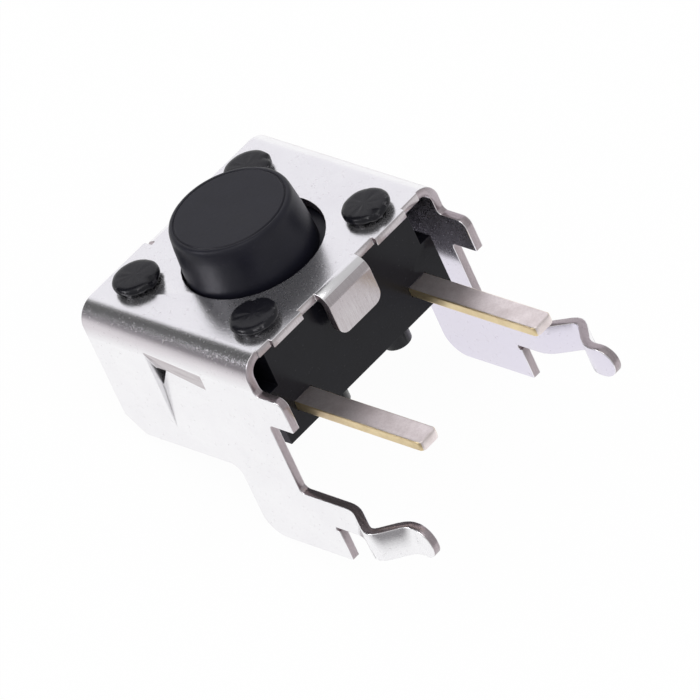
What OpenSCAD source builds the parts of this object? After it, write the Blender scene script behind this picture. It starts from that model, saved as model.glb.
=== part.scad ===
// Right-angle tactile push switch in a folded sheet bracket, for a printed board.
// Millimetres. Z = 0 is the board face, Y = 0 is the terminal row, the button faces -Y.

/* [Bracket sheet] */
// Width over the two side plates
bracket_width = 7.4; // [6.5:0.1:9]
// Thickness of the sheet
sheet = 0.25; // [0.15:0.05:0.4]
// Outer radius of the two long bends
bend_radius = 0.6; // [0.35:0.05:0.8]
// Reach of the cover below the base
cover_drop = 0.3; // [0.1:0.05:0.5]
// Reach of the cover above the base
cover_rise = 0.37; // [0.3:0.01:1]
// Rise of the lower edge beside the bends
corner_rise = 0.13; // [0.05:0.01:0.2]
// Half width of the cover between its corner strips
lip_half_width = 2.6; // [2.5:0.05:3.2]

/* [Bracket cover] */
// Diameter of the round opening for the button
opening_diameter = 3.92; // [3:0.02:4.5]
// Height of the button's axis above the board
button_height = 3.9; // [3.5:0.05:5]
// Room between the lower tab and the base
lower_tab_room = 0.3; // [0.05:0.05:0.4]
// Room between the upper tab and the base
upper_tab_room = 0.25; // [0.05:0.05:0.4]
// Width of the two bent tabs
tab_width = 1.6; // [1:0.1:2.4]
// Outer radius of the tab bends
tab_radius = 0.4; // [0.3:0.05:0.6]
// Length of a tab measured from the cover's face
tab_length = 1.37; // [0.8:0.01:1.8]
// Corner radius at the end of a tab
tab_corner = 0.3; // [0.1:0.05:0.5]
// Outer end of the relief notches beside the lower tab
notch_reach = 1.45; // [1.2:0.05:2]
// Width of the relief slits beside the upper tab
slit_width = 0.12; // [0.08:0.01:0.3]

/* [Bracket side plates] */
// Depth of the terminal row behind the cover's face
row_depth = 2.35; // [1.8:0.05:4]
// Height of the recess between the feet
recess_height = 0.92; // [0.5:0.02:1.5]
// Depth of the front foot's upper edge
foot_top = 1.05; // [0.8:0.05:1.5]
// Depth of the front foot's lower edge
foot_bottom = 2.05; // [1.5:0.05:2.5]
// Depth of the plate's long lower edge
plate_depth = 4.14; // [3.5:0.02:5]
// Depth of the rear shoulder's outer edge
shoulder_depth = 6.42; // [5.8:0.02:7.5]
// Height of the rear shoulder's upper edge
shoulder_height = 3.08; // [2:0.02:4]
// Chamfer at the upper rear corner
plate_chamfer = 0.55; // [0.2:0.05:1]
// Radius of the inner corner above the shoulder
shoulder_inner_radius = 0.35; // [0.2:0.05:0.8]
// Radius of the outer corner of the shoulder
shoulder_outer_radius = 0.65; // [0.3:0.05:1]
// Radius of the front foot's outer corner
foot_corner = 0.25; // [0.1:0.05:0.4]
// Radius of the small inner corners
inner_corner = 0.15; // [0.05:0.05:0.3]

/* [Snap legs] */
// Distance of the snap leg row behind the terminal row
leg_row = 2.49; // [2:0.01:3]
// Width of a snap leg
leg_width = 0.92; // [0.6:0.02:1.2]
// Reach of the snap legs below the board face
leg_length = 3.68; // [3:0.02:4.5]
// Outward reach of the kink
kink_reach = 0.61; // [0.3:0.01:0.8]
// Reach below the board where the kink starts
kink_start = 1; // [0.8:0.05:1.5]
// Reach below the board of the kink's crest
kink_crest = 2.02; // [1.6:0.01:2.2]
// Reach below the board where the kink ends
kink_end = 2.85; // [2.4:0.05:3.2]
// Inward reach where the kink ends
kink_return = 0.1; // [0:0.01:0.2]
// Length of the smooth bend on each side of a kink's corner
kink_bend_length = 0.28; // [0.1:0.01:0.4]
// Width of the relief notch beside a leg
leg_notch_width = 0.14; // [0.1:0.01:0.3]
// Height of the relief notch beside a leg
leg_notch_height = 0.3; // [0.2:0.05:0.6]

/* [Side dents] */
// Reach of a dent below the button's axis
dent_drop = 0.95; // [0.5:0.05:1.2]
// Reach of a dent above the button's axis
dent_rise = 1.1; // [0.5:0.05:2]
// Depth of the dent's front edge
dent_front = 1.1; // [0.8:0.05:1.5]
// Depth of the dent's crease
dent_crease = 1.5; // [1.2:0.05:2]
// Depth where a dent runs out
dent_back = 3.4; // [2.8:0.05:3.8]
// How far the crease is pressed inwards
dent_push = 0.2; // [0.1:0.01:0.25]
// Side of the small torn opening at the dent's corner
tear_size = 0.34; // [0.1:0.02:0.5]

/* [Base] */
// Height of the base along the cover
base_size = 5.7; // [5:0.05:6]
// Half width of the base under the cover
base_half_width = 2.8; // [2.6:0.05:3.1]
// Half width of the base below its step
base_wide = 3.18; // [2.9:0.01:3.22]
// Depth of the step where the base gets wider
base_step = 1.45; // [0.8:0.05:1.6]
// Depth of the base's underside
base_depth = 3.14; // [2.8:0.02:3.5]
// Depth of the end of the two locating pegs
peg_depth = 3.5; // [3.2:0.05:3.8]
// Diameter of a locating peg
peg_diameter = 0.78; // [0.5:0.02:1.2]
// Distance of a locating peg from the middle
peg_offset = 1.21; // [0.9:0.01:2]
// Radius of the round room inside the base
room_radius = 2.35; // [2:0.05:2.5]

/* [Riveted posts] */
// Distance of a post's axis from the button's axis, both ways
post_offset = 2.2; // [1.8:0.05:2.4]
// Diameter of a post inside the cover
post_diameter = 0.98; // [0.6:0.02:1.2]
// Diameter of a post just above the cover
neck_diameter = 1.14; // [1:0.02:1.4]
// Diameter of a post's melted head
head_diameter = 1.3; // [1.2:0.02:1.6]
// Height of the neck above the cover
neck_height = 0.1; // [0.1:0.02:0.3]
// Height of the head's top above the cover
head_height = 0.32; // [0.3:0.02:0.6]
// Rounding of the head's edge
head_round = 0.08; // [0.02:0.01:0.12]

/* [Button] */
// Diameter of the flat top of the button
button_flat = 3.1; // [2.5:0.02:3.6]
// Diameter at the button's upper rim
button_top = 3.32; // [2.8:0.02:3.7]
// Diameter of the button at the cover
button_foot = 3.6; // [3:0.02:3.86]
// Height of the button above the cover
button_reach = 1.5; // [0.8:0.05:6]
// Height of the rim's chamfer
rim_drop = 0.09; // [0.02:0.01:0.2]
// Thickness of the collar inside the base
collar = 0.5; // [0.3:0.05:0.8]
// Diameter of the nub that presses the dome
nub_diameter = 1.2; // [0.6:0.05:2]

/* [Contacts] */
// Distance between the two terminals
terminal_pitch = 4.5; // [4:0.1:5.5]
// Width of a terminal
terminal_width = 0.66; // [0.4:0.02:0.9]
// Thickness of the terminals
terminal_thickness = 0.3; // [0.2:0.05:0.5]
// Reach of the terminals below the board face
terminal_length = 3.55; // [2.5:0.05:5]
// Corner radius at a terminal's tip
terminal_corner = 0.15; // [0.05:0.01:0.3]
// Outer radius of the contact ring
ring_outer = 2.3; // [2:0.05:2.4]
// Inner radius of the contact ring
ring_inner = 1.6; // [1.2:0.05:1.9]
// Radius of the middle contact
pad_radius = 0.8; // [0.5:0.05:1.2]
// Half width of the ring's opening for the middle contact
ring_gap = 0.65; // [0.5:0.05:1]
// How deep the middle contact's strip lies under the floor
strip_sink = 0.1; // [0.05:0.01:0.15]
// Radius of the spring dome
dome_radius = 2.05; // [1.8:0.05:2.2]
// Height of the spring dome
dome_height = 0.45; // [0.3:0.01:0.6]
// Thickness of the spring dome
dome_sheet = 0.08; // [0.05:0.01:0.12]

/* [Fits] */
// Radial clearance of sliding parts
slide_gap = 0.05; // [0.01:0.01:0.1]
// Clearance of parts that are moulded or riveted in
seat_gap = 0.01; // [0:0.01:0.05]

/* [Hidden] */
$fn = 96;
cover_face = -row_depth;
cover_back = cover_face + sheet;
outer_half = bracket_width / 2;
inner_half = outer_half - sheet;
flat_half = outer_half - bend_radius;
bend_line = cover_face + bend_radius;
base_low = button_height - base_size / 2;
base_high = button_height + base_size / 2;
cover_low = base_low - cover_drop;
cover_high = base_high + cover_rise;
corner_low = cover_low + corner_rise;
tab_low = base_low - lower_tab_room - sheet;
dent_low = button_height - dent_drop;
dent_high = button_height + dent_rise;
floor_face = -terminal_thickness / 2;
floor_back = terminal_thickness / 2;
dome_top = floor_face - dome_height;
leg_near = leg_row - leg_width / 2;
leg_far = leg_row + leg_width / 2;
upper_tab_face = base_high + upper_tab_room + sheet;
overlap = 0.1;
mid_sheet = outer_half - sheet / 2;

// turns a shape drawn in X and Z into a plate between two Y values
module across(y0, y1)
  translate([0, y1, 0])
    rotate([90, 0, 0])
      linear_extrude(y1 - y0)
        children();

// turns a shape drawn in Y and Z into a plate between two X values
module beside(x0, x1)
  translate([x0, 0, 0])
    rotate([90, 0, 90])
      linear_extrude(x1 - x0)
        children();

// turns an outline of radius and height into a round body, height counted towards -Y
module turned(y0)
  translate([0, y0, button_height])
    rotate([90, 0, 0])
      rotate_extrude()
        children();

// the piece between a corner and its arc: cut off an outer corner or added to an inner one
module spandrel(corner, r, su, sv)
  translate(corner)
    difference() {
      translate([su > 0 ? -overlap : -r, sv > 0 ? -overlap : -r])
        square(r + overlap);
      translate([su * r, sv * r])
        circle(r);
    }

module quarter_bend(r_out, su, sv)
  intersection() {
    difference() {
      circle(r_out);
      circle(r_out - sheet);
    }
    translate([su > 0 ? 0 : -r_out, sv > 0 ? 0 : -r_out])
      square(r_out);
  }

module cover_shape()
  difference() {
    translate([-flat_half, cover_low])
      square([flat_half * 2, cover_high - cover_low]);
    for (s = [-1, 1]) {
      translate([s > 0 ? lip_half_width : -flat_half - overlap, cover_low - overlap])
        square([flat_half - lip_half_width + overlap, corner_low - cover_low + overlap]);
      translate([s * post_offset, button_height - post_offset])
        circle(d = post_diameter + 2 * seat_gap);
      translate([s * post_offset, button_height + post_offset])
        circle(d = post_diameter + 2 * seat_gap);
    }
    translate([-notch_reach, cover_low - overlap])
      square([notch_reach * 2, tab_low + tab_radius - cover_low + overlap]);
    translate([-tab_width / 2 - slit_width, upper_tab_face - tab_radius])
      square([tab_width + slit_width * 2, tab_radius + overlap]);
    translate([0, button_height])
      circle(d = opening_diameter);
  }

module tab_plan()
  difference() {
    translate([-tab_width / 2, cover_face])
      square([tab_width, tab_length]);
    spandrel([tab_width / 2, cover_face + tab_length], tab_corner, -1, -1);
    spandrel([-tab_width / 2, cover_face + tab_length], tab_corner, 1, -1);
  }

// root in the cover, bend and flat end of a tab, seen from the side
module tab_profile(z, side) {
  translate([cover_face, side > 0 ? z + tab_radius : z - tab_radius - overlap])
    square([sheet, overlap]);
  translate([cover_face + tab_radius, z + side * tab_radius])
    quarter_bend(tab_radius, -1, -side);
  translate([cover_face + tab_radius, side > 0 ? z : z - sheet])
    square([tab_length - tab_radius, sheet]);
}

// one bent tab, its outer face at height z and its bend towards the cover given by a sign
module tab(z, side)
  intersection() {
    beside(-tab_width / 2, tab_width / 2)
      tab_profile(z, side);
    translate([0, 0, z - tab_radius - 2 * overlap])
      linear_extrude(2 * tab_radius + 4 * overlap)
        tab_plan();
  }

module plate_shape()
  difference() {
    union() {
      translate([bend_line, recess_height])
        square([plate_depth + cover_face - bend_line, cover_high - recess_height]);
      translate([bend_line, recess_height])
        square([shoulder_depth + cover_face - bend_line, shoulder_height - recess_height]);
      translate([leg_near, 0])
        square([shoulder_depth + cover_face - leg_near, recess_height + overlap]);
      translate([foot_top + cover_face, 0])
        square([foot_bottom - foot_top, recess_height + overlap]);
      spandrel([plate_depth + cover_face, shoulder_height], shoulder_inner_radius, 1, 1);
      spandrel([leg_near, recess_height], inner_corner, -1, -1);
      spandrel([foot_bottom + cover_face, recess_height], inner_corner, 1, -1);
      spandrel([foot_top + cover_face, recess_height], inner_corner, -1, -1);
    }
    spandrel([shoulder_depth + cover_face, shoulder_height], shoulder_outer_radius, -1, -1);
    spandrel([foot_top + cover_face, 0], foot_corner, 1, 1);
    translate([plate_depth + cover_face, cover_high])
      rotate(45)
        square(plate_chamfer * sqrt(2), center = true);
    translate([leg_far, -overlap])
      square([leg_notch_width, leg_notch_height - leg_notch_width / 2 + overlap]);
    translate([leg_far + leg_notch_width / 2, leg_notch_height - leg_notch_width / 2])
      circle(d = leg_notch_width);
  }

// the kinked middle line of a snap leg, as outward offset and height
kink_line = [[0, overlap], [0, -kink_start], [kink_reach, -kink_crest], [-kink_return, -kink_end],
             [0, -leg_length - sheet]];
function toward(a, b, d) = a + (b - a) / norm(b - a) * d;
function eased(a, v, b, t) =
  let (p = toward(v, a, kink_bend_length), q = toward(v, b, kink_bend_length))
  (1 - t) * (1 - t) * p + 2 * t * (1 - t) * v + t * t * q;
kink_path = concat([kink_line[0]],
  [for (i = [1:3], t = [0:0.25:1]) eased(kink_line[i - 1], kink_line[i], kink_line[i + 1], t)],
  [kink_line[4]]);
function heading(a, b) = (b - a) / norm(b - a);
function leaning(i) =
  let (n = len(kink_path) - 1, a = kink_path[max(i - 1, 0)], b = kink_path[min(i + 1, n)],
       h = heading(a, b))
  [-h[1], h[0]];
function leg_edge(d) = [for (i = [0:len(kink_path) - 1]) kink_path[i] + leaning(i) * d];
function backwards(list) = [for (i = [len(list) - 1:-1:0]) list[i]];

module leg_outline()
  polygon(concat(leg_edge(sheet / 2), backwards(leg_edge(-sheet / 2))));

module leg()
  intersection() {
    translate([mid_sheet, leg_far, 0])
      rotate([90, 0, 0])
        linear_extrude(leg_width)
          leg_outline();
    beside(inner_half - overlap, outer_half + kink_reach + overlap) {
      translate([leg_near, -leg_length + leg_width / 2])
        square([leg_width, leg_length - leg_width / 2 + overlap]);
      translate([leg_row, -leg_length + leg_width / 2])
        circle(d = leg_width);
    }
  }

// the pressed-in wedge of a dent, its open side at X = x
module dent_wedge(x, grow)
  translate([0, 0, dent_low - grow])
    linear_extrude(dent_high - dent_low + 2 * grow)
      polygon([
        [x + overlap / 10, cover_face + dent_front],
        [x, cover_face + dent_front],
        [x - dent_push, cover_face + dent_crease],
        [x, cover_face + dent_back],
        [x + overlap / 10, cover_face + dent_back]
      ]);

module side_plate() {
  difference() {
    union() {
      beside(inner_half, outer_half)
        plate_shape();
      dent_wedge(inner_half, sheet / 2);
    }
    dent_wedge(outer_half, 0);
    beside(inner_half - dent_push - overlap, outer_half + overlap)
      translate([cover_face + dent_crease, dent_high])
        polygon([[0, 0], [tear_size, 0], [0, -tear_size]]);
  }
  translate([flat_half, bend_line, recess_height])
    linear_extrude(cover_high - recess_height)
      quarter_bend(bend_radius, 1, -1);
  leg();
}

module bracket()
  color("silver") {
    across(cover_face, cover_back)
      cover_shape();
    side_plate();
    mirror([1, 0, 0])
      side_plate();
    tab(tab_low, 1);
    tab(upper_tab_face, -1);
  }

module post_outline() {
  translate([0, -overlap])
    square([post_diameter / 2, sheet + seat_gap + 2 * overlap]);
  translate([0, sheet + seat_gap])
    square([neck_diameter / 2, neck_height]);
  translate([0, sheet + neck_height])
    polygon([
      [0, 0],
      [head_diameter / 2 - head_round, 0],
      [head_diameter / 2, head_round],
      [head_diameter / 2, head_height - neck_height - head_round],
      [head_diameter / 2 - head_round, head_height - neck_height],
      [0, head_height - neck_height]
    ]);
}

module post(x, z)
  translate([x, cover_back, z])
    rotate([90, 0, 0])
      rotate_extrude()
        post_outline();

module base()
  color([0.15, 0.15, 0.17])
    difference() {
      union() {
        across(cover_back, base_depth + cover_face)
          translate([-base_half_width, base_low])
            square([base_half_width * 2, base_size]);
        across(base_step + cover_face, base_depth + cover_face)
          translate([-base_wide, base_low])
            square([base_wide * 2, base_size]);
        for (s = [-1, 1]) {
          post(s * post_offset, button_height - post_offset);
          post(s * post_offset, button_height + post_offset);
          translate([s * peg_offset, peg_depth + cover_face, base_low + peg_diameter / 2])
            rotate([90, 0, 0])
              cylinder(d = peg_diameter, h = peg_depth - base_depth + overlap);
        }
      }
      turned(floor_face)
        square([room_radius, floor_face - cover_back + overlap]);
      rim_metal(seat_gap);
      centre_metal(seat_gap);
    }

module button()
  color([0.12, 0.12, 0.14])
    turned(cover_face) {
      translate([0, -sheet - slide_gap])
        square([button_foot / 2, sheet + slide_gap]);
      polygon([
        [0, 0],
        [button_foot / 2, 0],
        [button_top / 2, button_reach - rim_drop],
        [button_flat / 2, button_reach],
        [0, button_reach]
      ]);
      translate([0, -sheet - slide_gap - collar])
        square([room_radius - slide_gap, collar]);
      translate([0, cover_face - dome_top + seat_gap])
        square([nub_diameter / 2, dome_top - cover_face - seat_gap - sheet - slide_gap]);
    }

dome_curve = (dome_radius * dome_radius + dome_height * dome_height) / (2 * dome_height);

// a shallow spherical cap whose rim stands on the contact ring
module dome()
  color("gainsboro")
    turned(floor_face)
      intersection() {
        translate([0, dome_height - dome_curve])
          difference() {
            circle(dome_curve);
            circle(dome_curve - dome_sheet);
          }
        square([dome_radius, dome_height]);
      }

module terminal_shape(side, top, extra)
  difference() {
    translate([side * terminal_pitch / 2 - terminal_width / 2 - extra, -terminal_length])
      square([terminal_width + 2 * extra, terminal_length + top]);
    for (s = [-1, 1])
      spandrel([side * terminal_pitch / 2 + s * (terminal_width / 2 + extra), -terminal_length],
                terminal_corner, -s, 1);
  }

// ring under the dome's rim, open on the side where the middle contact passes
module rim_shape(extra) {
  difference() {
    translate([0, button_height])
      circle(ring_outer + extra);
    translate([0, button_height])
      circle(ring_inner - extra);
    translate([ring_inner / sqrt(2) - ring_gap + extra, base_low])
      square([ring_outer, button_height - base_low - extra]);
  }
  translate([-terminal_pitch / 2, button_height - terminal_width - extra])
    square([terminal_pitch / 2 - (ring_inner + ring_outer) / 2, terminal_width + 2 * extra]);
  terminal_shape(-1, button_height + extra, extra);
}

module rim_metal(extra)
  across(floor_face - extra, floor_back + extra)
    rim_shape(extra);

// middle contact, its terminal and the sunk strip between them
module centre_metal(extra) {
  across(floor_face - extra, floor_back + extra) {
    translate([0, button_height])
      circle(pad_radius + extra);
    terminal_shape(1, button_height - (terminal_pitch - terminal_width) / 2 + extra, extra);
  }
  across(floor_face + strip_sink - extra, floor_back + extra)
    translate([0, button_height])
      rotate(-45)
        translate([0, -terminal_width / 2 - extra])
          square([terminal_pitch / sqrt(2), terminal_width + 2 * extra]);
}

module contact_rim()
  color([0.8, 0.75, 0.7])
    rim_metal(0);

module contact_centre()
  color([0.8, 0.75, 0.7])
    centre_metal(0);

bracket();
base();
button();
dome();
contact_rim();
contact_centre();
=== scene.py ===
import math

import bpy
from mathutils import Matrix, Vector


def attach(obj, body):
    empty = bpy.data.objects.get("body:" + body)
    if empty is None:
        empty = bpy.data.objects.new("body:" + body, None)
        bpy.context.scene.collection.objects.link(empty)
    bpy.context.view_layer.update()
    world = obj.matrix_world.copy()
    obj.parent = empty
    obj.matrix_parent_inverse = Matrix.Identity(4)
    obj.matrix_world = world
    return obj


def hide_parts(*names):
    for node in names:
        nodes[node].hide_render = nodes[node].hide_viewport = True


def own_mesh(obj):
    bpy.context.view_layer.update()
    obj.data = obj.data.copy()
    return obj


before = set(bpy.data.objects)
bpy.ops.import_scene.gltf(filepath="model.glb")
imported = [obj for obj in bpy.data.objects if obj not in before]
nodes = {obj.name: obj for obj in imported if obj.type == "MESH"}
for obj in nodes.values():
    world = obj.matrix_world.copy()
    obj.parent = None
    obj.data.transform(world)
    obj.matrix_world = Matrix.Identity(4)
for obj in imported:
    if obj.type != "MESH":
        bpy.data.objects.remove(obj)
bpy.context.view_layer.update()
mm = 0.001
print("frame loaded:", sorted(nodes))


# a Wire is one socket of a material; sums and products of wires become Math nodes
class Wire:
    def __init__(self, board, socket):
        self.board = board
        self.socket = socket

    def __add__(self, other):
        return self.board.math("ADD", self, other)

    def __radd__(self, other):
        return self.board.math("ADD", other, self)

    def __mul__(self, other):
        return self.board.math("MULTIPLY", self, other)

    def __rmul__(self, other):
        return self.board.math("MULTIPLY", other, self)


# a Board is one material; add() makes every node but the colour mixes
class Board:
    def __init__(self, name):
        self.material = bpy.data.materials.new(name)
        self.material.use_nodes = True
        self.tree = self.material.node_tree
        self.shader = self.tree.nodes["Principled BSDF"]
        self.output = self.tree.nodes["Material Output"]

    def feed(self, socket, value):
        if isinstance(value, Wire):
            self.tree.links.new(value.socket, socket)
        else:
            socket.default_value = value

    def add(self, kind, inputs=None, out=0, **settings):
        node = self.tree.nodes.new(kind)
        for key, value in settings.items():
            setattr(node, key, value)
        for key, value in (inputs or {}).items():
            self.feed(node.inputs[key], value)
        return Wire(self, node.outputs[out])

    def math(self, kind, left, right, clamp=False):
        return self.add("ShaderNodeMath", {0: left, 1: right}, operation=kind, use_clamp=clamp)

    def mix(self, factor, first, second):
        node = self.tree.nodes.new("ShaderNodeMix")
        node.data_type = "RGBA"
        self.feed(node.inputs[0], factor)
        self.feed(node.inputs[6], first)
        self.feed(node.inputs[7], second)
        return Wire(self, node.outputs[2])

    def spot(self, scale=(1, 1, 1)):  # object coordinates in millimetres
        where = self.add("ShaderNodeTexCoord", out="Object")
        return self.add("ShaderNodeMapping", {"Vector": where, "Scale": [s / mm for s in scale]})

    def along(self, where, axis):
        return self.add("ShaderNodeSeparateXYZ", {"Vector": where}, out=axis)

    def noise(self, where, scale, detail, rough):
        return self.add("ShaderNodeTexNoise",
                        {"Vector": where, "Scale": scale, "Detail": detail, "Roughness": rough},
                        out="Fac")

    def ramp(self, value, low, high, first=0.0, last=1.0):
        return self.add("ShaderNodeMapRange", {"Value": value, "From Min": low, "From Max": high,
                                               "To Min": first, "To Max": last})

    def bump(self, height, strength, distance, under=None):
        inputs = {"Height": height, "Strength": strength, "Distance": distance * mm}
        if under:
            inputs["Normal"] = under
        return self.add("ShaderNodeBump", inputs)

    def edges(self, radius):  # 1 on edges, 0 on open faces
        soft = self.add("ShaderNodeBevel", {"Radius": radius * mm}, samples=4)
        hard = self.add("ShaderNodeNewGeometry", out="Normal")
        same = self.add("ShaderNodeVectorMath", {0: soft, 1: hard}, out="Value",
                        operation="DOT_PRODUCT")
        return self.ramp(same, 0.995, 0.80)

    def set(self, **values):  # constants on the shader's own sockets
        for key, value in values.items():
            self.shader.inputs[key.replace("_", " ")].default_value = value

    def put(self, key, wire):
        self.feed(self.shader.inputs[key], wire)


# in the looks a noise is its size, detail and roughness, a bump its strength and its depth in
# millimetres, and a name that ends in Mix says how much of that colour comes in

# ---- tinned sheet of the bracket
sheetLook = {
    "colour": (0.95, 0.945, 0.96, 1), "insideShade": (0.80, 0.765, 0.875, 1), "shade": (0.80, 0.775, 0.82, 1),
    "cut": (0.36, 0.31, 0.33, 1), "torn": (0.50, 0.44, 0.46, 1), "edgeHighlight": (0.97, 0.96, 0.97, 1),
    "wornAndShaded": (0.50, 0.455, 0.47, 1), "bend": (0.56, 0.50, 0.54, 1),
    "cloud": (0.7, 4, 0.6), "grain": (26.0, 3, 0.6), "lines": (2.2, 3, 0.6), "specks": (13.0, 2, 0.5),
    "stretch": (14, 1, 0.5), "cloudMix": 0.30, "grainMix": 0.22, "speckMix": 0.18, "edgeMix": 0.45,
    "bendMix": 0.62, "bendStart": (-2.28, -2.05), "bendEnd": (-1.85, -1.40), "edge": 0.04,
    "metal": 0.95, "roughness": 0.17, "cutRoughness": 0.24, "grainRough": 0.10, "speckRough": 0.12,
    "fineBump": (0.30, 0.004), "cloudBump": (0.20, 0.03),
}


def sheetMaterial(name, colour="colour", cut=False, wornAndShaded=False):
    look = sheetLook
    board = Board(name)
    grain = board.noise(board.spot(), *look["grain"])
    lines = board.noise(board.spot(look["stretch"]), *look["lines"])
    cloud = board.noise(board.spot(), *look["cloud"])
    specks = board.ramp(board.noise(board.spot(), *look["specks"]), 0.62, 0.80)
    base = board.mix(board.ramp(cloud, 0.35, 0.75) * look["cloudMix"], look[colour], look["shade"])
    base = board.mix(board.ramp(grain, 0.40, 0.75) * look["grainMix"], base, look["shade"])
    base = board.mix(specks * look["speckMix"], base, look["cut"])
    if cut:
        base = board.mix(board.ramp(grain + lines, 0.75, 1.25), look["cut"], look["torn"])
    depth = board.along(board.spot(), "Y")  # painted shade: the sheet is darker across its bend
    bend = board.ramp(depth, *look["bendStart"]) * board.ramp(depth, *look["bendEnd"], 1.0, 0.0)
    base = board.mix(bend * look["bendMix"], base, look["bend"])
    # painted shade, with streaks: the sheet made darker
    if wornAndShaded:
        base = board.mix(board.ramp(lines, 0.20, 0.75, 0.62, 1.0), base, look["wornAndShaded"])
    # painted highlight: the sheet's broken edges are lighter
    base = board.mix(board.edges(look["edge"]) * look["edgeMix"], base, look["edgeHighlight"])
    board.put("Base Color", base)
    board.set(Metallic=look["metal"])
    rough = look["cutRoughness"] if cut else look["roughness"]
    board.put("Roughness", rough + look["grainRough"] * grain + look["speckRough"] * specks)
    fine = board.bump(grain + 0.5 * lines, *look["fineBump"])
    board.put("Normal", board.bump(cloud, *look["cloudBump"], fine))
    return board.material


# ---- black mouldings: pores are finer on the block than on its melted heads
plasticLook = {
    "block": {"colour": (0.007, 0.007, 0.010, 1), "pale": (0.0112, 0.0112, 0.016, 1), "roughness": 0.16,
              "specular": 0.20, "pores": (22.0, 3, 0.55), "edgeMix": 0.30},
    "heads": {"colour": (0.007, 0.007, 0.010, 1), "pale": (0.0112, 0.0112, 0.016, 1), "roughness": 0.16,
              "specular": 0.30, "pores": (9.0, 3, 0.55), "edgeMix": 0.7, "flakes": (6.0, 4, 0.7)},
    "button": {"colour": (0.009, 0.009, 0.016, 1), "pale": (0.0144, 0.0144, 0.0256, 1), "roughness": 0.36,
               "specular": 0.30, "pores": (16.0, 3, 0.55), "edgeMix": 0.30},
    "wornAndShaded": (0.060, 0.058, 0.066, 1), "chip": (0.30, 0.29, 0.31, 1), "cloud": (1.3, 4, 0.6),
    "dust": (9.0, 3, 0.6), "cloudMix": 0.5, "dustMix": 0.14, "edge": 0.05, "flakeEdge": 0.12,
    "poreRough": 0.12, "dustRough": 0.10, "poreBump": (0.30, 0.008), "ior": 1.48,
}


def plasticMaterial(name, part):
    look = plasticLook
    own = look[part]
    board = Board(name)
    cloud = board.noise(board.spot(), *look["cloud"])
    dust = board.ramp(board.noise(board.spot(), *look["dust"]), 0.60, 0.80)
    pores = board.noise(board.spot(), *own["pores"])
    base = board.mix(board.ramp(cloud, 0.3, 0.8) * look["cloudMix"], own["colour"], own["pale"])
    base = board.mix(dust * look["dustMix"], base, look["wornAndShaded"])
    base = board.mix(board.edges(look["edge"]) * own["edgeMix"], base, look["wornAndShaded"])
    # light flakes on the heads' rims: partly chips, partly painted glints
    if "flakes" in own:
        flakes = board.ramp(board.noise(board.spot(), *own["flakes"]), 0.54, 0.60)
        rim = board.math("MULTIPLY", board.edges(look["flakeEdge"]), 2.0, clamp=True)
        base = board.mix(flakes * rim, base, look["chip"])
    board.put("Base Color", base)
    board.put("Roughness", own["roughness"] + look["poreRough"] * pores + look["dustRough"] * dust)
    board.put("Normal", board.bump(pores, *look["poreBump"]))
    board.set(IOR=look["ior"], Specular_IOR_Level=own["specular"])
    return board.material


# ---- plated strip of the terminals, and its bare brass sides
stripLook = {
    "plate": {"colour": (0.97, 0.885, 0.88, 1), "dull": (0.62, 0.53, 0.52, 1), "cloudMix": 0.6},
    "brass": {"colour": (0.90, 0.74, 0.45, 1), "dull": (0.60, 0.45, 0.24, 1), "cloudMix": 0.5},
    "rubbedAndShaded": (0.90, 0.74, 0.45, 1), "lines": (16.0, 3, 0.6), "stretch": (1, 1, 0.08),
    "cloud": (1.9, 4, 0.65), "grain": (24.0, 3, 0.6), "grainMix": 0.30, "edgeMix": 0.5, "edge": 0.03,
    "metal": 0.92, "roughness": 0.20, "lineRough": 0.16, "cloudRough": 0.10, "bump": (0.3, 0.005),
}


def stripMaterial(name, part):
    look = stripLook
    own = look[part]
    board = Board(name)
    lines = board.noise(board.spot(look["stretch"]), *look["lines"])
    cloud = board.noise(board.spot(), *look["cloud"])
    grain = board.noise(board.spot(), *look["grain"])
    base = board.mix(board.ramp(cloud, 0.40, 0.72) * own["cloudMix"], own["colour"], own["dull"])
    base = board.mix(board.ramp(grain, 0.40, 0.75) * look["grainMix"], base, own["dull"])
    base = board.mix(board.edges(look["edge"]) * look["edgeMix"], base, look["rubbedAndShaded"])
    board.put("Base Color", base)
    board.set(Metallic=look["metal"])
    board.put("Roughness", look["roughness"] + look["lineRough"] * lines + look["cloudRough"] * cloud)
    board.put("Normal", board.bump(lines + 0.6 * grain, *look["bump"]))
    return board.material


sheetFace = sheetMaterial("tinnedSheet")
sheetCut = sheetMaterial("sheetCutEdge", cut=True)
# painted shade: a darker streaked copy of the sheet
sheetShaded = sheetMaterial("shadedSheet", wornAndShaded=True)
# painted shade: a darker lilac copy of the sheet for the plates' inner faces
sheetInsideShade = sheetMaterial("insideShadeSheet", colour="insideShade")
basePlastic = plasticMaterial("mouldedBase", "block")
headPlastic = plasticMaterial("meltedHead", "heads")
buttonPlastic = plasticMaterial("mouldedButton", "button")
plated = stripMaterial("platedStrip", "plate")
bareBrass = stripMaterial("bareBrass", "brass")
springSheet = sheetMaterial("springSheet")
for nodeName, look in (("bracket", sheetFace), ("base", basePlastic), ("button", buttonPlastic),
                       ("dome", springSheet), ("contact_rim", plated), ("contact_centre", plated)):
    nodes[nodeName].data.materials.clear()
    nodes[nodeName].data.materials.append(look)
print("materials made")

# ---- mesh helpers
meshSettings = {"weld": 0.001, "poleWeld": 0.003, "flatAngle": 0.1}
point = 0.0005  # a ring this small is merged into one point


def only(piece):
    bpy.ops.object.select_all(action="DESELECT")
    piece.select_set(True)
    bpy.context.view_layer.objects.active = piece


def blank(name):
    piece = bpy.data.objects.new(name, bpy.data.meshes.new(name))
    bpy.context.scene.collection.objects.link(piece)
    only(piece)
    bpy.ops.object.mode_set(mode="EDIT")
    return piece


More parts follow.
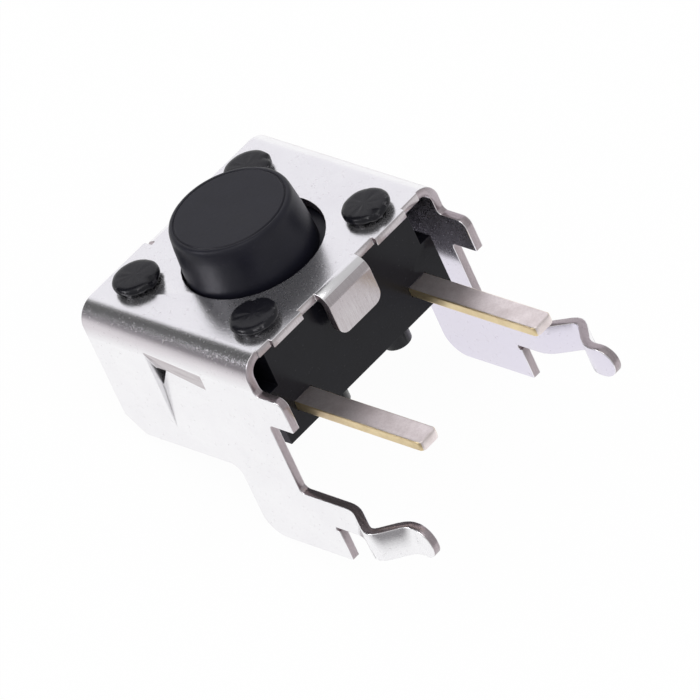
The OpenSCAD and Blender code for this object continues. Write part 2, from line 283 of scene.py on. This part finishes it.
def copyOf(nodeName, name):
    piece = bpy.data.objects.new(name, nodes[nodeName].data.copy())
    bpy.context.scene.collection.objects.link(piece)
    only(piece)
    bpy.ops.object.mode_set(mode="EDIT")
    bpy.ops.mesh.select_all(action="SELECT")
    bpy.ops.mesh.remove_doubles(threshold=meshSettings["weld"] * mm)
    bpy.ops.mesh.normals_make_consistent(inside=False)
    bpy.ops.mesh.dissolve_limited(angle_limit=math.radians(meshSettings["flatAngle"]),
                                  delimit={"NORMAL"})
    bpy.ops.object.mode_set(mode="OBJECT")
    return piece


def pick(piece, test):  # selects the vertices that pass a test and stays in edit mode
    only(piece)
    bpy.ops.object.mode_set(mode="EDIT")
    bpy.ops.mesh.select_mode(type="VERT")
    bpy.ops.mesh.select_all(action="DESELECT")
    bpy.ops.object.mode_set(mode="OBJECT")
    for vertex in piece.data.vertices:
        vertex.select = test(vertex.co)
    bpy.ops.object.mode_set(mode="EDIT")


def moved(piece, test, shift):  # the shift is in millimetres
    pick(piece, test)
    bpy.ops.transform.translate(value=[d * mm for d in shift])
    bpy.ops.object.mode_set(mode="OBJECT")


def bevelled(piece, width, segments=2, angle=40):
    only(piece)
    step = piece.modifiers.new("edge", "BEVEL")
    step.width = width * mm
    step.segments = segments
    step.limit_method = "ANGLE"
    step.angle_limit = math.radians(angle)
    step.use_clamp_overlap = True
    bpy.ops.object.modifier_apply(modifier="edge")


def smoothed(piece, angle=35):  # large flat faces keep their own normal
    only(piece)
    bpy.ops.object.shade_smooth_by_angle(angle=math.radians(angle))
    flat = piece.modifiers.new("flat", "WEIGHTED_NORMAL")
    flat.keep_sharp = True
    flat.weight = 100
    bpy.ops.object.modifier_apply(modifier="flat")


def dressed(piece, looks, body="housing", replaced=None):
    piece.data.materials.clear()
    for look in looks:
        piece.data.materials.append(look)
    if replaced:
        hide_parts(replaced)
    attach(piece, body)


def lathe(centre, rings, steps):  # rings are radius and distance along -Y, ends close in a point
    x, y, z = centre
    firstRadius, firstDepth = rings[0]
    bpy.ops.mesh.select_all(action="DESELECT")
    bpy.ops.mesh.primitive_circle_add(vertices=steps, radius=firstRadius * mm,
                                      rotation=(math.pi / 2, 0, 0),
                                      location=(x * mm, (y - firstDepth) * mm, z * mm))
    for (r0, h0), (r1, h1) in zip(rings, rings[1:]):
        bpy.ops.mesh.extrude_region_move(TRANSFORM_OT_translate={"value": (0, (h0 - h1) * mm, 0)})
        bpy.ops.transform.resize(value=(r1 / r0, 1, r1 / r0),
                                 center_override=(x * mm, (y - h1) * mm, z * mm))


def closed():
    bpy.ops.mesh.select_all(action="SELECT")
    bpy.ops.mesh.remove_doubles(threshold=meshSettings["poleWeld"] * mm)
    bpy.ops.mesh.normals_make_consistent(inside=False)
    bpy.ops.object.mode_set(mode="OBJECT")


# ---- bracket: the sheet's own form with broken edges, bare cut edges and slightly spread plates
bracketSettings = {
    "edge": 0.03, "spreadLine": 3.0, "spreadNear": 0.05, "spreadFar": 0.13,
    "plateLine": 3.1, "bendDepth": -1.75, "coverBack": -2.1, "skin": 0.05,
    "tabHalf": 0.8, "tabSlack": 0.02, "tabEnd": 0.2, "lowTab": 0.92, "highTab": 6.8,
    "dent": ((-1.3, 2.7), (1.15, 5.2)), "dentReach": (0.08, 0.3),
    "dentMoves": [(-1.25, 4.9, -0.30), (-1.25, 3.0, -0.10), (-0.85, 3.0, 0.30), (-0.51, 5.0, 0.22)],
    "notch": ((2.9, 0.15), (3.12, 0.35)), "notchMove": -0.19,
    "facing": 0.6, "faceOn": 0.8, "sloping": 0.12, "plateEdge": 0.3, "coverEdge": 0.4,
}
sheetLooks = {"face": 0, "cut": 1, "rubbedAndShaded": 2, "inside": 3}


def within(c, zone):  # a zone is its lowest and highest y and z
    (y0, z0), (y1, z1) = zone
    return y0 < c.y < y1 and z0 < c.z < z1


def cutFace(c, n):  # centre in millimetres and normal of one face
    s = bracketSettings
    if abs(c.x) < s["tabHalf"] + s["tabSlack"] and (c.z < s["lowTab"] or c.z > s["highTab"]):
        return abs(n.x) > s["facing"] or (n.y > s["facing"] and c.y > s["coverBack"] + s["tabEnd"])
    if abs(c.x) > s["plateLine"] and within(c, s["dent"]):
        return False
    if abs(c.x) > s["plateLine"]:
        return abs(n.z) > s["facing"] if c.y < s["bendDepth"] else abs(n.x) < s["plateEdge"]
    return c.y < s["coverBack"] + s["skin"] and abs(n.y) < s["coverEdge"]


def sheetLookOf(c, n):
    s = bracketSettings
    onPlate = abs(c.x) > s["plateLine"]
    lowTab = abs(c.x) < s["tabHalf"] and c.z < s["lowTab"] and n.z < -s["faceOn"]
    dentSlope = onPlate and abs(n.x) > s["facing"] and n.y > s["sloping"] and within(c, s["dent"])
    coverCut = cutFace(c, n) and abs(c.x) < s["plateLine"] and n.z < 0
    # painted shade: the low tab, the dent's front slope and the cover's cut faces toward -Z take the
    # darker streaked sheet
    if lowTab or dentSlope or coverCut:
        return sheetLooks["rubbedAndShaded"]
    # painted shade: the plates' inner faces take the darker lilac copy of the sheet
    if onPlate and n.x * c.x < -s["facing"] * abs(c.x):
        return sheetLooks["inside"]
    return sheetLooks["cut"] if cutFace(c, n) else sheetLooks["face"]


def makeBracket():
    s = bracketSettings
    piece = copyOf("bracket", "bracketSheet")
    reachY, reachZ = s["dentReach"]
    line = s["plateLine"] * mm
    for y, z, shift in s["dentMoves"]:  # the pressed dent is a little longer at its corners
        moved(piece, lambda v: (abs(v.x) > line and abs(v.y - y * mm) < reachY * mm
                                and abs(v.z - z * mm) < reachZ * mm), (0, shift, 0))
    moved(piece, lambda v: abs(v.x) > line and within(v / mm, s["notch"]), (0, 0, s["notchMove"]))
    bevelled(piece, s["edge"])
    moved(piece, lambda v: v.x < -s["spreadLine"] * mm, (s["spreadNear"], 0, 0))
    moved(piece, lambda v: v.x > s["spreadLine"] * mm, (s["spreadFar"], 0, 0))
    dressed(piece, [sheetFace, sheetCut, sheetShaded, sheetInsideShade], replaced="bracket")
    for face in piece.data.polygons:
        face.material_index = sheetLookOf(face.center / mm, face.normal)
    smoothed(piece)


makeBracket()
print("bracket made")

# ---- base: block with broken edges; its four posts end in melted heads
baseSettings = {"edge": 0.04, "postCut": -2.36}
headSettings = {
    "heads": [(-2.2, 6.1, 0.645, 3), (2.2, 6.1, 0.66, 5), (-2.2, 1.7, 0.66, 8), (2.2, 1.7, 0.65, 2)],
    "outline": [(0.42, -0.12), (0.57, -0.02), (0.56, 0.05), (0.60, 0.085), (0.645, 0.115),
                (0.665, 0.16), (0.66, 0.22), (0.63, 0.27), (0.57, 0.295), (0.50, 0.30),
                (0.34, 0.298), (0.18, 0.305)],
    "foot": -0.12, "top": 0.305, "radius": 0.65, "cover": -2.35, "steps": 48, "angle": 50,
    "melted": -2.43, "wobble": 0.022, "soften": 0.5, "passes": 2,
    "chipTurn": (200, 25), "chipRadius": 0.6, "chipDepth": -2.52, "chipReach": 0.15,
    "chipMove": (-0.03, 0.05),
}


def makeHead(x, z, radius, seed):
    s = headSettings
    piece = blank("rivetHead" + str(seed))
    size = radius / s["radius"]
    rings = [(r * size, h) for r, h in s["outline"]]
    lathe((x, s["cover"], z), [(point, s["foot"])] + rings + [(point, s["top"])], s["steps"])
    closed()
    pick(piece, lambda v: v.y < s["melted"] * mm)
    bpy.ops.transform.vertex_random(offset=s["wobble"] * mm, seed=seed)
    bpy.ops.mesh.vertices_smooth(factor=s["soften"], repeat=s["passes"])
    bpy.ops.object.mode_set(mode="OBJECT")
    first, step = s["chipTurn"]
    side = math.radians(first + step * seed)
    chip = Vector((x + s["chipRadius"] * math.cos(side), s["chipDepth"],
                   z + s["chipRadius"] * math.sin(side))) * mm
    inward, back = s["chipMove"]
    moved(piece, lambda v: (v - chip).length < s["chipReach"] * mm, (inward * math.cos(side), back, 0))
    dressed(piece, [headPlastic])
    smoothed(piece, s["angle"])


def makeBase():
    s = baseSettings
    piece = copyOf("base", "baseMoulding")
    bpy.ops.object.mode_set(mode="EDIT")
    bpy.ops.mesh.select_all(action="SELECT")
    bpy.ops.mesh.bisect(plane_co=(0, s["postCut"] * mm, 0), plane_no=(0, -1, 0),
                        clear_outer=True, use_fill=True)
    bpy.ops.object.mode_set(mode="OBJECT")
    bevelled(piece, s["edge"])
    dressed(piece, [basePlastic], replaced="base")
    smoothed(piece)
    for x, z, radius, seed in headSettings["heads"]:
        makeHead(x, z, radius, seed)


makeBase()
print("base made")

# ---- button: turned form with a fine groove inside its rounded rim; it sits a little off the middle
buttonSettings = {
    "middle": (-0.09, -2.35, 3.97), "steps": 128, "angle": 30,
    "lean": (-0.025, 0, -0.0275), "leanLevels": (0.3, 0.6, 0.9, 1.2),
    "outline": [(point, -1.74), (0.56, -1.74), (0.60, -1.70), (0.60, -0.80), (2.20, -0.80),
                (2.24, -0.76), (2.24, -0.36), (2.20, -0.32), (1.80, -0.32), (1.79, 0.0),
                (1.785, 0.15), (1.755, 0.55), (1.72, 1.00), (1.685, 1.33), (1.672, 1.39),
                (1.650, 1.44), (1.610, 1.475), (1.570, 1.487), (1.540, 1.484), (1.524, 1.462),
                (1.506, 1.460), (1.488, 1.486), (1.470, 1.497), (1.20, 1.500), (0.6, 1.495),
                (point, 1.495)],
}


def makeButton():
    s = buttonSettings
    cover = s["middle"][1]
    piece = blank("buttonCap")
    lathe(s["middle"], s["outline"], s["steps"])
    closed()
    for level in s["leanLevels"]:  # every level above the cover is shifted once more
        moved(piece, lambda v: v.y < (cover - level) * mm, s["lean"])
    dressed(piece, [buttonPlastic], body="button", replaced="button")
    smoothed(piece, s["angle"])


makeButton()
print("button made")

# ---- dome: the spring sheet with broken edges
domeSettings = {"edge": 0.01, "segments": 1, "keep": 0.44, "seat": -0.15}


def makeDome():
    s = domeSettings
    piece = copyOf("dome", "springDome")
    bevelled(piece, s["edge"], s["segments"])
    smoothed(piece)
    dressed(piece, [springSheet], replaced="dome")
    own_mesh(piece)


makeDome()
print("dome made")

# ---- contacts: plated strip with bare brass sides and rounded edges
contactSettings = {"edge": 0.045, "segments": 3, "side": 0.6}


def makeContact(nodeName, name):
    s = contactSettings
    piece = copyOf(nodeName, name)
    bevelled(piece, s["edge"], s["segments"])
    dressed(piece, [plated, bareBrass], replaced=nodeName)
    for face in piece.data.polygons:
        face.material_index = 1 if abs(face.normal.x) > s["side"] else 0
    smoothed(piece)


makeContact("contact_rim", "rimContact")
makeContact("contact_centre", "centreContact")
print("contacts made")

# ---- camera at the photograph's place
cameraSettings = {
    "place": (-0.129032, -0.175823, -0.207993), "turn": (161.8521, 43.2189, 28.2298),
    "lens": 613.129, "sensor": 36, "clipStart": 0.01, "clipEnd": 5,
}
cameraData = bpy.data.cameras.new("photoCamera")
cameraData.lens = cameraSettings["lens"]
cameraData.sensor_width = cameraSettings["sensor"]
cameraData.clip_start = cameraSettings["clipStart"]
cameraData.clip_end = cameraSettings["clipEnd"]
camera = bpy.data.objects.new("photoCamera", cameraData)
bpy.context.scene.collection.objects.link(camera)
camera.location = cameraSettings["place"]
camera.rotation_euler = [math.radians(a) for a in cameraSettings["turn"]]
bpy.context.scene.camera = camera

# ---- floor: the table that the part lies on in the photograph, seen from its front only
floorSettings = {
    "point": (0, 5.44 * mm, 0), "normal": (0, -0.882, -0.471), "half": 0.16,
    "colour": (0.96, 0.96, 0.96, 1), "roughness": 0.6, "white": 0.97,
    "dimStart": -0.0078, "dimEnd": -0.0190, "dim": (0.16, 0.15, 0.16, 1),
}


def floorMaterial():  # the gloss sees the table darker past the near plate, which shades the bend
    s = floorSettings
    board = Board("paleTable")
    board.set(Base_Color=s["colour"], Roughness=s["roughness"])
    rays = {key: board.add("ShaderNodeLightPath", out="Is " + key + " Ray")
            for key in ("Camera", "Glossy", "Transmission")}
    seen = board.math("MINIMUM", rays["Camera"] + rays["Glossy"] + rays["Transmission"], 1.0)
    across = board.along(board.add("ShaderNodeTexCoord", out="Object"), "X")
    dim = rays["Glossy"] * board.ramp(across, s["dimStart"], s["dimEnd"])
    white = board.add("ShaderNodeEmission", {"Color": board.mix(dim, (1, 1, 1, 1), s["dim"]),
                                             "Strength": 1.0})
    front = board.add("ShaderNodeMixShader", {0: seen * s["white"],
                                              1: Wire(board, board.shader.outputs[0]), 2: white})
    behind = board.add("ShaderNodeNewGeometry", out="Backfacing")
    clear = board.add("ShaderNodeBsdfTransparent")
    board.feed(board.output.inputs["Surface"],
               board.add("ShaderNodeMixShader", {0: behind, 1: front, 2: clear}))
    return board.material


bpy.ops.object.select_all(action="DESELECT")
bpy.ops.mesh.primitive_plane_add(size=2 * floorSettings["half"], location=floorSettings["point"])
floor = bpy.context.object
floor.name = "tableFloor"
floor.rotation_mode = "QUATERNION"
floor.rotation_quaternion = Vector(floorSettings["normal"]).to_track_quat("Z", "Y")
floor.data.materials.append(floorMaterial())

# ---- cards that only the gloss sees: a dark one for the sheet's bend, which fades to pale at its
# far side, a bright one for the button's side and a pale one for the cover
cardSettings = {
    "darkCard": {"toward": (-0.51, -0.51, 0.6925), "wide": 0.380, "high": 0.070, "away": 0.12,
                 "glow": 0.30, "fade": (0.20, 0.5)},
    "streakCard": {"toward": (-0.70, -0.59, 0.40), "wide": 0.026, "high": 0.030, "away": 0.09,
                   "glow": 7.0},
    "paleCard": {"toward": (0.56, -0.52, 0.64), "wide": 0.120, "high": 0.140, "away": 0.14,
                 "glow": 0.88},
}
cardLook = {
    "colour": (0.02, 0.02, 0.02, 1), "roughness": 0.8, "light": (0.97, 0.96, 1, 1),
    "fadeFrom": (0, 0, 0, 1), "fadeTo": (1, 0.95, 0.98, 1),
}


def makeCard(name, setting):
    look = cardLook
    board = Board(name)
    board.set(Base_Color=look["colour"], Roughness=look["roughness"], Emission_Color=look["light"],
              Emission_Strength=setting["glow"])
    if "fade" in setting:
        across = board.along(board.add("ShaderNodeTexCoord", out="Object"), "X")
        fade = board.ramp(across, *setting["fade"])
        board.put("Emission Color", board.mix(fade, look["fadeFrom"], look["fadeTo"]))
    toward = Vector(setting["toward"]).normalized()
    along = toward.cross(Vector((0, 0, 1))).normalized()
    up = toward.cross(along).normalized()
    bpy.ops.object.select_all(action="DESELECT")
    bpy.ops.mesh.primitive_plane_add(size=1)
    card = bpy.context.object
    card.name = name
    axes = Matrix((along * setting["wide"], up * setting["high"], -toward)).transposed()
    card.matrix_world = Matrix.Translation(toward * setting["away"]) @ axes.to_4x4()
    card.data.materials.append(board.material)
    card.visible_camera = False
    card.visible_diffuse = False
    card.visible_shadow = False


for cardName, setting in cardSettings.items():
    makeCard(cardName, setting)

# ---- world: its strength as light on the object, in gloss, and as the camera sees it
worldSettings = {"light": 0.80, "mirror": 0.55, "seen": 1.0, "colour": (1, 1, 1, 1)}
world = bpy.data.worlds.new("paleRoom")
world.use_nodes = True
bpy.context.scene.world = world
tree = world.node_tree
rayKind = tree.nodes.new("ShaderNodeLightPath")
sky = tree.nodes["Background"]
level = None
for kind, key in (("Is Glossy Ray", "mirror"), ("Is Camera Ray", "seen")):
    reach = tree.nodes.new("ShaderNodeMapRange")
    reach.inputs["To Min"].default_value = worldSettings["light"]
    reach.inputs["To Max"].default_value = worldSettings[key]
    if level:
        tree.links.new(level, reach.inputs["To Min"])
    tree.links.new(rayKind.outputs[kind], reach.inputs["Value"])
    level = reach.outputs[0]
tree.links.new(level, sky.inputs["Strength"])
sky.inputs["Color"].default_value = worldSettings["colour"]

# ---- lamps
lampSettings = {
    "key": {"toward": (-0.2, -0.95, -0.25), "away": 0.20, "size": 0.12, "power": 0.06},
    "rim": {"toward": (-0.8, -0.5, 0.35), "away": 0.20, "size": 0.10, "power": 0.03},
}
lampCentre = Vector((0, 0, 2.5 * mm))
for lampName, setting in lampSettings.items():
    lampData = bpy.data.lights.new(lampName, "AREA")
    lampData.size = setting["size"]
    lampData.energy = setting["power"]
    lamp = bpy.data.objects.new(lampName, lampData)
    bpy.context.scene.collection.objects.link(lamp)
    toward = Vector(setting["toward"]).normalized()
    lamp.location = lampCentre + toward * setting["away"]
    lamp.rotation_mode = "QUATERNION"
    lamp.rotation_quaternion = toward.to_track_quat("Z", "Y")

bpy.context.scene.view_settings.view_transform = "Standard"
print("camera, floor and light set")
